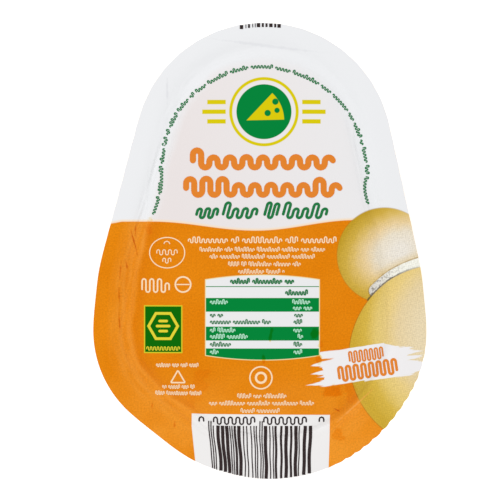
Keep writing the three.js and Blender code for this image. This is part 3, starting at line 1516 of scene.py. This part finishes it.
@dataclass
class SmokedCheese:
    """The cheese that fills the base, with a round shoulder under the rim."""

    gap: float = 0.45
    lump: float = 0.35
    lump_grain: float = 17.0
    levels: int = 2
    rim_inset: float = 12.6
    rim_drop: float = 0.5
    shoulder_inset: float = 14.0
    shoulder_drop: float = 4.0
    shoulder_cuts: int = 5
    finish: SmokedRind = field(default_factory=SmokedRind)

    def build(self, edge: EdgeMap, rim_height: float) -> bpy.types.Object:
        """Models the cheese.

        Args:
            edge: The pack's cut edge.
            rim_height: The height of the rim's underside, in millimetres.

        Returns:
            The cheese's object.
        """
        piece = skin_of_node("smoked_scamorza", "filled_base")
        centres = face_centres(piece)
        height = centres[:, 2] - rim_height
        _, inset, _ = edge.measure(centres)
        over_rim = inset < self.rim_inset
        top = height > ABOVE_RIM
        shoulder = (inset < self.shoulder_inset) & (height > -self.shoulder_drop)
        drop_faces(piece, (top & over_rim) | (shoulder & ~top) | (over_rim & (height > -self.rim_drop)))
        self.round_shoulder(piece)
        apply_modifier(piece, "SUBSURF", levels=self.levels, render_levels=self.levels)
        points = read_points(piece)
        lumps = np.array([noise.noise(Vector(p) / self.lump_grain) for p in points])
        inwards = self.gap + self.lump * (0.5 - 0.5 * lumps)
        points -= read_values(piece.data.vertices, "normal") * inwards[:, None]
        write_points(piece, points)
        finish_piece(piece, "filled_base", "smoked_cheese", self.finish.material())
        return piece

    def round_shoulder(self, piece: bpy.types.Object) -> None:
        """Bridges the gap where the rim was with a rounded band.

        Args:
            piece: The cheese, open where the rim was.
        """
        with editing(piece):
            bpy.ops.mesh.select_mode(type="EDGE")
            bpy.ops.mesh.select_all(action="DESELECT")
            bpy.ops.mesh.select_non_manifold()
            bpy.ops.mesh.bridge_edge_loops(
                number_cuts=self.shoulder_cuts, interpolation="SURFACE", smoothness=1.0
            )
            bpy.ops.mesh.select_all(action="SELECT")
            bpy.ops.mesh.normals_make_consistent(inside=False)


# ---------------------------------------------------------------- small print

COARSE_PEN = 0.5  # a wider pen gets more points round its bends and across its width
ROUND_CAP = 0.3  # a half width from which a strip's round ends get more points
STEP = 0.9  # how far apart the points of a straight run are


def distance_along(path: np.ndarray) -> np.ndarray:
    """How far along a path each of its points lies."""
    return np.concatenate([[0.0], np.cumsum(np.hypot(*np.diff(path, axis=0).T))])


def resampled(path: np.ndarray, at: np.ndarray) -> np.ndarray:
    """The points of a path at these distances along it."""
    run = distance_along(path)
    return np.stack([np.interp(at, run, path[:, axis]) for axis in (0, 1)], axis=1)


def with_end_points(path: np.ndarray, half: float) -> np.ndarray:
    """Adds points near both ends of a path, so that a strip can be rounded there.

    Args:
        path: Two numbers for each point, in millimetres.
        half: Half of the strip's width.

    Returns:
        The path with its new points.
    """
    run = distance_along(path)
    steps = 5 if half > ROUND_CAP else 3
    near = half * (1.0 - np.cos(np.linspace(0.0, math.pi / 2, steps)))
    middle = run[(run > 1.1 * half) & (run < run[-1] - 1.1 * half)]
    return resampled(path, np.concatenate([near, middle, run[-1] - near[::-1]]))


def ribbon(path: np.ndarray, width: float, closed: bool = False, round_ends: bool = True) -> bpy.types.Object:
    """Lays a flat strip along a path.

    Args:
        path: The middle of the strip, two numbers for each point, in millimetres.
        width: The strip's width.
        closed: Whether its end meets its start.
        round_ends: Whether its ends are rounded.

    Returns:
        The strip's object, above the label.
    """
    rounded = round_ends and not closed
    if rounded:
        path = with_end_points(path, width / 2)
    rows = 1 if width < COARSE_PEN else 2
    bpy.ops.object.select_all(action="DESELECT")
    bpy.ops.mesh.primitive_grid_add(x_subdivisions=len(path) - 1, y_subdivisions=rows, size=1.0)
    piece = bpy.context.active_object
    points = read_points(piece)
    order = np.lexsort((points[:, 1], points[:, 0]))
    tangent = np.gradient(path, axis=0)
    if closed:
        tangent[0] = tangent[-1] = path[1] - path[-2]
    tangent /= np.hypot(tangent[:, 0], tangent[:, 1])[:, None]
    side = np.stack([-tangent[:, 1], tangent[:, 0]], axis=1)
    half = np.full(len(path), width / 2)
    if rounded:
        run = distance_along(path)
        cap = np.clip(1.0 - np.minimum(run, run[-1] - run) / (width / 2), 0.0, 1.0)
        half *= np.sqrt(np.maximum(1.0 - cap**2, 0.03))
    for row, offset in enumerate(np.linspace(-1.0, 1.0, rows + 1)):
        points[order[row :: rows + 1], :2] = path + side * (offset * half)[:, None]
    points[:, 2] = PRESS_HEIGHT
    write_points(piece, points)
    if closed:
        with editing(piece):
            bpy.ops.mesh.select_all(action="SELECT")
            bpy.ops.mesh.remove_doubles(threshold=0.01 * MM)
    return piece


def squiggle(
    start: float, end: float, base: float, heights: list[float], stroke: float, slant: float = 0.0
) -> np.ndarray:
    """The middle line of a squiggle that stands for a word: stems joined by half circles.

    Args:
        start: Its left end.
        end: Its right end.
        base: The line that it stands on.
        heights: How high each of its humps reaches, in turn.
        stroke: The width of the pen.
        slant: How far it leans right for each millimetre up.

    Returns:
        The points of the line.
    """
    stems = 2 * len(heights)
    pitch = (end - start - stroke) / (stems - 1)
    radius = pitch / 2
    bends = 8 if stroke > COARSE_PEN else 4
    line = []
    for stem in range(stems):
        x = start + stroke / 2 + stem * pitch
        top = base + heights[stem // 2] - stroke / 2 - radius
        low = base + stroke / 2 + radius
        rising = stem % 2 == 0
        count = max(2, round((top - low) / STEP) + 1)
        levels = np.linspace(low, top, count) if rising else np.linspace(top, low, count)
        line += [(x, level) for level in levels]
        if stem + 1 < stems:
            centre, sign = (top, 1.0) if rising else (low, -1.0)
            turn = np.linspace(math.pi, 0.0, bends + 1)[1:-1]
            line += [(x + radius + radius * math.cos(t), centre + sign * radius * math.sin(t)) for t in turn]
    points = np.array(line)
    points[:, 0] += slant * (points[:, 1] - base)
    return points


def word(
    start: float, end: float, base: float, heights: list[float], stroke: float, slant: float = 0.0
) -> bpy.types.Object:
    """One squiggle as a strip, with the sizes that squiggle takes."""
    return ribbon(squiggle(start, end, base, heights, stroke, slant), stroke)


def hoop(centre: Place, half_x: float, half_y: float, width: float, count: int = 40) -> bpy.types.Object:
    """A closed strip round an ellipse, or round a polygon where the count is low.

    Args:
        centre: The ellipse's centre.
        half_x: Its half width.
        half_y: Its half height.
        width: The strip's width.
        count: How many straight runs it has.

    Returns:
        The strip's object.
    """
    turn = np.linspace(0.0, math.tau, count + 1)
    path = np.stack([centre[0] + half_x * np.cos(turn), centre[1] + half_y * np.sin(turn)], axis=1)
    return ribbon(path, width, closed=True)


def straight(start: Place, end: Place, step: float = STEP) -> np.ndarray:
    """A straight path with a point every step."""
    count = max(3, round(math.dist(start, end) / step) + 1)
    return np.linspace(start, end, count)


def dash(x: float, y: float, width: float, height: float) -> bpy.types.Object:
    """A plain mark with round ends, upright or lying, about its middle.

    Args:
        x: Its middle, to the right.
        y: Its middle, upwards.
        width: Its width.
        height: Its height.

    Returns:
        The mark's object.
    """
    if height > width:
        return ribbon(straight((x, y - height / 2), (x, y + height / 2)), width)
    return ribbon(straight((x - width / 2, y), (x + width / 2, y)), height)


def tilted(path: np.ndarray, centre: tuple[float, float], degrees: float) -> np.ndarray:
    """Turns a path that was drawn about the origin, and moves it to its centre.

    Args:
        path: Two numbers for each point.
        centre: Where the origin goes.
        degrees: The turn to the left.

    Returns:
        The turned path.
    """
    turn = math.radians(degrees)
    across = np.array([[math.cos(turn), math.sin(turn)], [-math.sin(turn), math.cos(turn)]])
    return path @ across + np.array(centre)


class CurvedLine:
    """A smooth curve that a line of print stands on."""

    FINENESS = 500

    def __init__(self, knots: tuple[Place, ...]) -> None:
        """Draws a cubic through the knots, from the line's start to its end.

        Args:
            knots: Places that the line passes through.
        """
        corners = np.array(knots)
        run = distance_along(corners)
        self.fine = np.linspace(0.0, run[-1], self.FINENESS)
        self.path = np.stack([smooth_through(run, corners[:, axis], self.fine) for axis in (0, 1)], axis=1)
        self.length = float(run[-1])

    def bend(self, points: np.ndarray) -> np.ndarray:
        """Moves points from a straight line to this one.

        Args:
            points: For each point, how far along the line it is and how far above it.

        Returns:
            Their places on the label.
        """
        slope = np.gradient(self.path, self.fine, axis=0)
        foot = self.read(self.path, points[:, 0])
        ahead = self.read(slope, points[:, 0])
        ahead /= np.hypot(ahead[:, 0], ahead[:, 1])[:, None]
        up = np.stack([-ahead[:, 1], ahead[:, 0]], axis=1)
        return foot + up * points[:, 1:2]

    def read(self, values: np.ndarray, at: np.ndarray) -> np.ndarray:
        """The curve's own pairs of numbers at these distances along it."""
        return np.stack([np.interp(at, self.fine, values[:, axis]) for axis in (0, 1)], axis=1)


def smooth_through(run: np.ndarray, values: np.ndarray, at: np.ndarray) -> np.ndarray:
    """A cubic that passes smoothly through values.

    Args:
        run: Where each value stands, rising.
        values: The values.
        at: Where the cubic is read.

    Returns:
        The cubic's values.
    """
    slope = np.gradient(values, run)
    part = np.clip(np.searchsorted(run, at) - 1, 0, len(run) - 2)
    width = run[part + 1] - run[part]
    t = (at - run[part]) / width
    start = (2 * t**3 - 3 * t**2 + 1) * values[part] + (t**3 - 2 * t**2 + t) * width * slope[part]
    return start + (3 * t**2 - 2 * t**3) * values[part + 1] + (t**3 - t**2) * width * slope[part + 1]


@dataclass(frozen=True)
class Type:
    """A size of print: the height of a low hump, the room for a letter, and the pen."""

    height: float
    pitch: float
    stroke: float
    tall: float = 1.4
    tall_share: float = 0.3


BODY_TYPE = Type(1.08, 0.88, 0.26)
ROW_TYPE = Type(1.12, 0.92, 0.29)
LEAD_TYPE = Type(1.5, 1.36, 0.36)
ARC_TYPE = Type(1.1, 0.98, 0.34)
FINE_TYPE = Type(1.15, 0.74, 0.24, 1.2)


@dataclass(frozen=True)
class Row:
    """One line of print: its left end, its right end, the line it stands on, and its size."""

    start: float
    end: float
    base: float
    kind: Type = ROW_TYPE


class Typesetter:
    """Sets lines of squiggles in place of words."""

    def __init__(self, seed: int) -> None:
        """Starts the random draws for the words' lengths."""
        self.rng = random.Random(seed)

    def line(
        self, start: float, end: float, base: float, kind: Type, curve: CurvedLine | None = None
    ) -> list[bpy.types.Object]:
        """Sets one line.

        Args:
            start: Its left end.
            end: Its right end.
            base: The line that it stands on.
            kind: The size of its print.
            curve: A curve that it follows, if it isn't straight.

        Returns:
            One strip for each word.
        """
        strokes = []
        place = start
        while place < end - 0.9 * kind.pitch:
            room = round((end - place) / kind.pitch)
            letters = min(self.rng.randint(2, 9), room)
            if room - letters < 2:
                letters = room
            stop = place + letters * kind.pitch
            heights = []
            for _ in range(letters):
                rise = kind.tall if self.rng.random() < kind.tall_share else 1.0
                heights.append(kind.height * rise)
            path = squiggle(place, stop - 0.2 * kind.pitch, base, heights, kind.stroke)
            strokes.append(ribbon(curve.bend(path) if curve else path, kind.stroke))
            place = stop + 0.45 * kind.pitch
        return strokes

    def rows(self, rows: tuple[Row, ...]) -> list[bpy.types.Object]:
        """Sets several lines, in this order."""
        return [strip for row in rows for strip in self.line(row.start, row.end, row.base, row.kind)]


@dataclass
class SmallPrint:
    """Everything on the label that is finer than a field of colour, one piece for each ink."""

    lid: PrintedLid
    raised: float = 0.04
    thickness: float = 0.03
    edge_gap: float = 0.08
    cut_edge: EdgeMap | None = None
    arc: tuple[Place, ...] = (
        *((-31.7, 10.3), (-29.4, 17.9), (-29.0, 25.5), (-27.4, 34.4), (-23.0, 42.9)),
        *((-16.4, 48.9), (-7.7, 53.3), (0.0, 54.7), (9.7, 53.1), (18.7, 48.9)),
        *((26.1, 41.9), (30.4, 32.6), (32.1, 24.0), (31.5, 18.0), (32.4, 13.9)),
    )
    green_rows: tuple[Row, ...] = (
        Row(-8.7, 11.0, -10.1, Type(1.35, 1.02, 0.4)),
        Row(7.7, 14.3, -13.5, Type(1.35, 1.0, 0.38)),
        Row(-14.7, -10.4, -20.05),
        Row(-14.7, 3.2, -22.05),
        Row(10.4, 13.2, -20.05),
        Row(10.2, 13.2, -22.05),
        Row(-14.7, -8.4, -28.75),
        Row(10.2, 13.2, -28.75),
    )
    pale_rows: tuple[Row, ...] = (
        Row(-14.7, -9.0, -16.1),
        Row(9.8, 15.2, -16.1),
        Row(10.0, 16.0, -17.9),
        Row(-14.7, -6.5, -24.5),
        Row(-14.7, -3.7, -26.4),
        Row(10.1, 13.2, -24.5),
        Row(11.4, 13.2, -26.4),
        Row(-14.7, -11.7, -31.0),
        Row(10.2, 13.2, -31.0),
    )
    cream_rows: tuple[Row, ...] = (
        Row(-21.3, 23.5, 2.05, LEAD_TYPE),
        Row(-17.8, 19.9, -0.45, BODY_TYPE),
        Row(-14.8, 16.6, -2.55, BODY_TYPE),
        Row(-9.3, 12.5, -4.8, BODY_TYPE),
        Row(-6.3, 8.0, -7.0, BODY_TYPE),
        Row(-30.8, -17.9, -34.9, FINE_TYPE),
        Row(-29.0, -19.1, -41.4, FINE_TYPE),
        Row(-31.1, -17.4, -43.3, FINE_TYPE),
        Row(-6.6, 8.0, -44.15, BODY_TYPE),
        Row(-15.0, 16.2, -46.3, BODY_TYPE),
        Row(-5.6, 6.2, -48.55, BODY_TYPE),
    )
    triangle: tuple[Place, ...] = ((-26.4, -39.5), (-22.1, -39.5), (-24.25, -35.8))
    side_mark: Place = (-28.65, -22.6)
    foot_mark: Place = (0.5, -38.0)
    module: float = 0.33
    stripes: Place = (-15.2, 16.0)
    stripe_top: float = -52.45
    stripe_foot: float = -69.5
    stripe_pull: Place = (52.0, 66.0)
    tall_top: float = -51.0
    tall_stripes: tuple[Place, ...] = ((-16.0, -14.0), (-0.35, 0.8), (15.1, 16.0))
    over_stripes: tuple[tuple[float, float, int], ...] = (
        *((-18.2, -16.4, 1), (-13.85, -1.15, 6)),
        *((1.15, 14.25, 6), (17.7, 19.5, 1)),
    )
    ticks: Place = (-5.8, 6.3)
    tick_widths: tuple[float, ...] = (0.24, 0.24, 0.6, 0.6, 1.0)
    tick_gaps: tuple[float, ...] = (0.35, 0.5, 0.7)
    tick_top: float = 69.5

    def build(self) -> list[bpy.types.Object]:
        """Prints every ink.

        Returns:
            The pieces.
        """
        self.cut_edge = EdgeMap.of_skin(self.lid.skin)
        drawings = {
            Ink.ORANGE: self.orange,
            Ink.GREEN: self.green,
            Ink.CREAM: self.cream,
            Ink.PALE: self.pale,
            Ink.YELLOW: self.yellow,
            Ink.DARK: self.dark,
        }
        return [self.lay(ink, draw()) for ink, draw in drawings.items()]

    def lay(self, ink: Ink, strokes: list[bpy.types.Object]) -> bpy.types.Object:
        """Joins the strokes of one ink and presses them on the film.

        Args:
            ink: The ink.
            strokes: Its strokes, which it uses up.

        Returns:
            The piece.
        """
        bpy.ops.object.select_all(action="DESELECT")
        for stroke in strokes:
            stroke.select_set(True)
        bpy.context.view_layer.objects.active = strokes[0]
        bpy.ops.object.join()
        piece = bpy.context.active_object
        piece.name = f"{ink.name.lower()}_print"
        apply_modifier(
            piece,
            "SHRINKWRAP",
            target=self.lid.skin,
            wrap_method="PROJECT",
            use_project_z=True,
            use_negative_direction=True,
            use_positive_direction=False,
        )
        points = read_points(piece)
        points[:, 2] += self.raised
        write_points(piece, points)
        self.turn_up(piece)
        apply_modifier(piece, "SOLIDIFY", thickness=self.thickness * MM, offset=1.0)
        finish_piece(piece, "lid_film", None, PrintInk(ink).material())
        return piece

    @staticmethod
    def turn_up(piece: bpy.types.Object) -> None:
        """Turns every face that points down.

        Args:
            piece: The joined strips.
        """
        pick_faces(piece, face_normals(piece)[:, 2] < 0.0)
        with editing(piece):
            bpy.ops.mesh.flip_normals()

    def orange(self) -> list[bpy.types.Object]:
        """The two bold squiggles of the heading, and the two on the brushed banner.

        Returns:
            The strips of this ink.
        """
        first = [6.9, 4.8, 4.8, 4.9, 4.8, 4.8, 4.9, 4.8, 4.8]
        second = [6.5, 6.6, 6.5, 4.7, 4.7, 4.8, 4.7, 4.7, 6.3, 4.7]
        upper = squiggle(-3.8, 6.8, 0.35, [3.8] * 7, 0.5)
        lower = squiggle(-7.7, 10.4, -4.8, [4.95] * 8, 0.78)
        return [
            word(-20.7, 22.9, 23.75, first, 1.85),
            word(-22.7, 24.9, 15.6, second, 1.8),
            ribbon(tilted(upper, BANNER_MIDDLE, BANNER_TURN), 0.5),
            ribbon(tilted(lower, BANNER_MIDDLE, BANNER_TURN), 0.78),
        ]

    def green(self) -> list[bpy.types.Object]:
        """The slanted squiggles, the line along the arc, and the panel's rows on white.

        Returns:
            The strips of this ink.
        """
        setter = Typesetter(5)
        slanted = (
            (-19.5, -12.6, [3.5, 3.6, 3.5]),
            (-11.6, -0.9, [5.3, 3.5, 3.6, 3.5]),
            (0.8, 5.2, [5.3, 5.0]),
            (6.3, 19.9, [5.3, 3.5, 3.6, 5.0, 3.5]),
        )
        strokes = [word(start, end, 9.24, heights, 0.82, 0.28) for start, end, heights in slanted]
        arc = CurvedLine(self.arc)
        strokes += setter.line(0.3, arc.length, -0.5, ARC_TYPE, arc)
        return strokes + setter.rows(self.green_rows)

    def pale(self) -> list[bpy.types.Object]:
        """The panel's rows on green."""
        return Typesetter(7).rows(self.pale_rows)

    def cream(self) -> list[bpy.types.Object]:
        """The lines of print on orange, and the small plain marks.

        Returns:
            The strips of this ink.
        """
        strokes = Typesetter(9).rows(self.cream_rows)
        strokes += [
            word(-35.2, -26.6, -12.75, [4.45, 4.45, 4.45, 3.2], 0.5),
            word(-28.6, -26.5, 1.05, [1.8], 0.3),
            word(-30.7, -24.3, -1.55, [1.85] * 4, 0.3),
            word(-28.9, -26.2, -4.0, [1.8] * 2, 0.3),
            hoop((-27.46, -0.73), 5.26, 4.55, 0.32),
            hoop((-22.7, -10.2), 2.3, 2.25, 0.5, 28),
            dash(-22.7, -10.2, 4.0, 0.35),
            hoop(self.foot_mark, 3.3, 3.3, 0.45, 32),
            hoop(self.foot_mark, 1.5, 1.5, 0.7, 20),
        ]
        for start, end in zip(self.triangle, self.triangle[1:] + self.triangle[:1]):
            strokes.append(ribbon(straight(start, end, 0.6), 0.45))
        return strokes

    def yellow(self) -> list[bpy.types.Object]:
        """The plain mark and the squiggle on the small green panel.

        Returns:
            The strips of this ink.
        """
        x, y = self.side_mark
        strokes = [hoop(self.side_mark, 4.35, 4.35, 0.95, 6)]
        for lift, width in ((1.5, 2.9), (0.0, 4.4), (-1.5, 2.9)):
            strokes.append(dash(x, y + lift, width, 0.8))
        strokes.append(word(-33.7, -23.6, -29.95, [1.3] * 10, 0.28))
        return strokes

    def dark(self) -> list[bpy.types.Object]:
        """The stripes at the foot, the marks above them, and the ticks at the head.

        Returns:
            The strips of this ink.
        """
        rng = random.Random(13)
        strokes = []
        place, end = self.stripes
        while place < end:
            tall = any(low < place < high for low, high in self.tall_stripes)
            width = self.module if tall else self.module * rng.choice((1, 1, 1, 2, 2, 3))
            gap = self.module if tall else self.module * rng.choice((1, 1, 2, 2, 3))
            top = self.tall_top if tall else self.stripe_top
            strokes.append(self.stripe(place + width / 2, top, width))
            place += width + gap
        for start, end, humps in self.over_stripes:
            strokes.append(word(start, end, -52.2, [2.6] * humps, 0.45))
        place, end = self.ticks
        while place < end:
            width = rng.choice(self.tick_widths)
            middle = place + width / 2
            foot = 66.65 - 0.012 * (place - 1.3) ** 2
            path = straight((middle, foot), (middle, self.tick_top), 0.05)
            strokes.append(ribbon(self.cut_short(path, width, 4), width, round_ends=False))
            place += width + rng.choice(self.tick_gaps)
        return strokes

    def stripe(self, x: float, top: float, width: float) -> bpy.types.Object:
        """Prints one stripe down to the cut edge, bent where the film is drawn in.

        Args:
            x: Where its middle is at the top.
            top: Where it starts.
            width: Its width.

        Returns:
            The stripe's object.
        """
        heights = np.linspace(top, self.stripe_foot, 90)
        pull = smooth_step(-heights, *self.stripe_pull)
        lean = np.interp(x, [-16.0, 0.0, 16.0], [1.2, 0.4, -0.5])
        sway = 0.08 * np.sin(heights / 1.7 + x)
        path = np.stack([x + lean * pull + sway, heights], axis=1)
        return ribbon(self.cut_short(path, width, 24), width, round_ends=False)

    def cut_short(self, path: np.ndarray, width: float, count: int) -> np.ndarray:
        """Ends a strip's path where one of its sides reaches the cut edge.

        Args:
            path: An upright path that runs over the edge, two numbers for each point.
            width: The strip's width.
            count: How many points are kept, evenly spaced.

        Returns:
            The shorter path.
        """
        sides = [self.cut_edge.measure(path + (side * width, 0.0))[1] for side in (-0.5, 0.5)]
        inset = np.minimum(*sides)
        last = int(np.argmax(inset < self.edge_gap))
        share = (inset[last - 1] - self.edge_gap) / (inset[last - 1] - inset[last])
        foot = path[last - 1] + share * (path[last] - path[last - 1])
        kept = np.vstack([path[:last], foot])
        return resampled(kept, np.linspace(0.0, distance_along(kept)[-1], count))


# ---------------------------------------------------------------- studio


@dataclass
class Studio:
    """A pale floor, soft boxes at the sides, and the camera straight above."""

    camera_place: tuple[float, float, float] = (-2.76, 0.07, 463.2)
    lens: float = 100.0
    sensor: float = 36.0
    nearest: float = 0.01
    floor_size: float = 8.0
    floor_glow: float = 0.45
    box_distance: float = 0.75
    box_size: float = 0.34
    box_lift: float = 42.0
    box_power: float = 1.08
    boxes: tuple[Place, ...] = ((135.0, 1.45), (45.0, 1.0), (225.0, 1.1), (315.0, 0.85))
    world_strength: float = 0.435

    def build(self) -> None:
        """Sets up the whole studio."""
        self.floor()
        self.world()
        for azimuth, share in self.boxes:
            self.soft_box(azimuth, share)
        self.camera()
        bpy.context.scene.view_settings.view_transform = "Standard"

    def floor(self) -> None:
        """Lays the floor, which is matt white paper and glows a little, as if overexposed."""
        bpy.ops.object.select_all(action="DESELECT")
        bpy.ops.mesh.primitive_plane_add(size=self.floor_size, location=(0.0, 0.0, 0.0))
        plane = bpy.context.active_object
        plane.name = "floor"
        material, _, shader = new_material("white_studio_paper")
        feed(
            shader,
            {
                "Base Color": linear("#FAFAFA"),
                "Roughness": 0.9,
                "Specular IOR Level": 0.0,
                "Emission Color": linear("#FFFFFF"),
                "Emission Strength": self.floor_glow,
            },
        )
        plane.data.materials.append(material)

    def world(self) -> None:
        """Fills the shadows with an even pale light."""
        world = bpy.data.worlds.new("studio")
        bpy.context.scene.world = world
        world.use_nodes = True
        background = world.node_tree.nodes["Background"]
        feed(background, {"Color": linear("#FFFFFF"), "Strength": self.world_strength})

    def soft_box(self, azimuth: float, share: float) -> None:
        """Hangs one soft box that faces the pack.

        Args:
            azimuth: Where it hangs, in degrees to the left from +X.
            share: Its power against the plain one.
        """
        turn = math.radians(azimuth)
        lift = math.radians(self.box_lift)
        place = Vector((math.cos(turn) * math.cos(lift), math.sin(turn) * math.cos(lift), math.sin(lift)))
        bpy.ops.object.light_add(type="AREA", location=place * self.box_distance)
        lamp = bpy.context.active_object
        lamp.data.shape = "SQUARE"
        lamp.data.size = self.box_size
        lamp.data.energy = self.box_power * share
        lamp.rotation_euler = place.to_track_quat("Z", "Y").to_euler()

    def camera(self) -> None:
        """Places the camera as the photograph was taken."""
        bpy.ops.object.camera_add(location=Vector(self.camera_place) * MM, rotation=(0.0, 0.0, 0.0))
        camera = bpy.context.active_object
        camera.data.lens = self.lens
        camera.data.sensor_width = self.sensor
        camera.data.clip_start = self.nearest
        bpy.context.scene.camera = camera


def main() -> None:
    """Builds the pack and its studio."""
    logging.basicConfig(level=logging.INFO, format="%(message)s")
    lid = PrintedLid()
    lid.build()
    base = FormedBase(lid.relief)
    base.build()
    SmokedCheese().build(lid.edge, base.rim_height)
    SmallPrint(lid).build()
    bpy.data.objects.remove(lid.skin)
    Studio().build()
    bpy.context.view_layer.update()


if __name__ == "__main__":
    main()
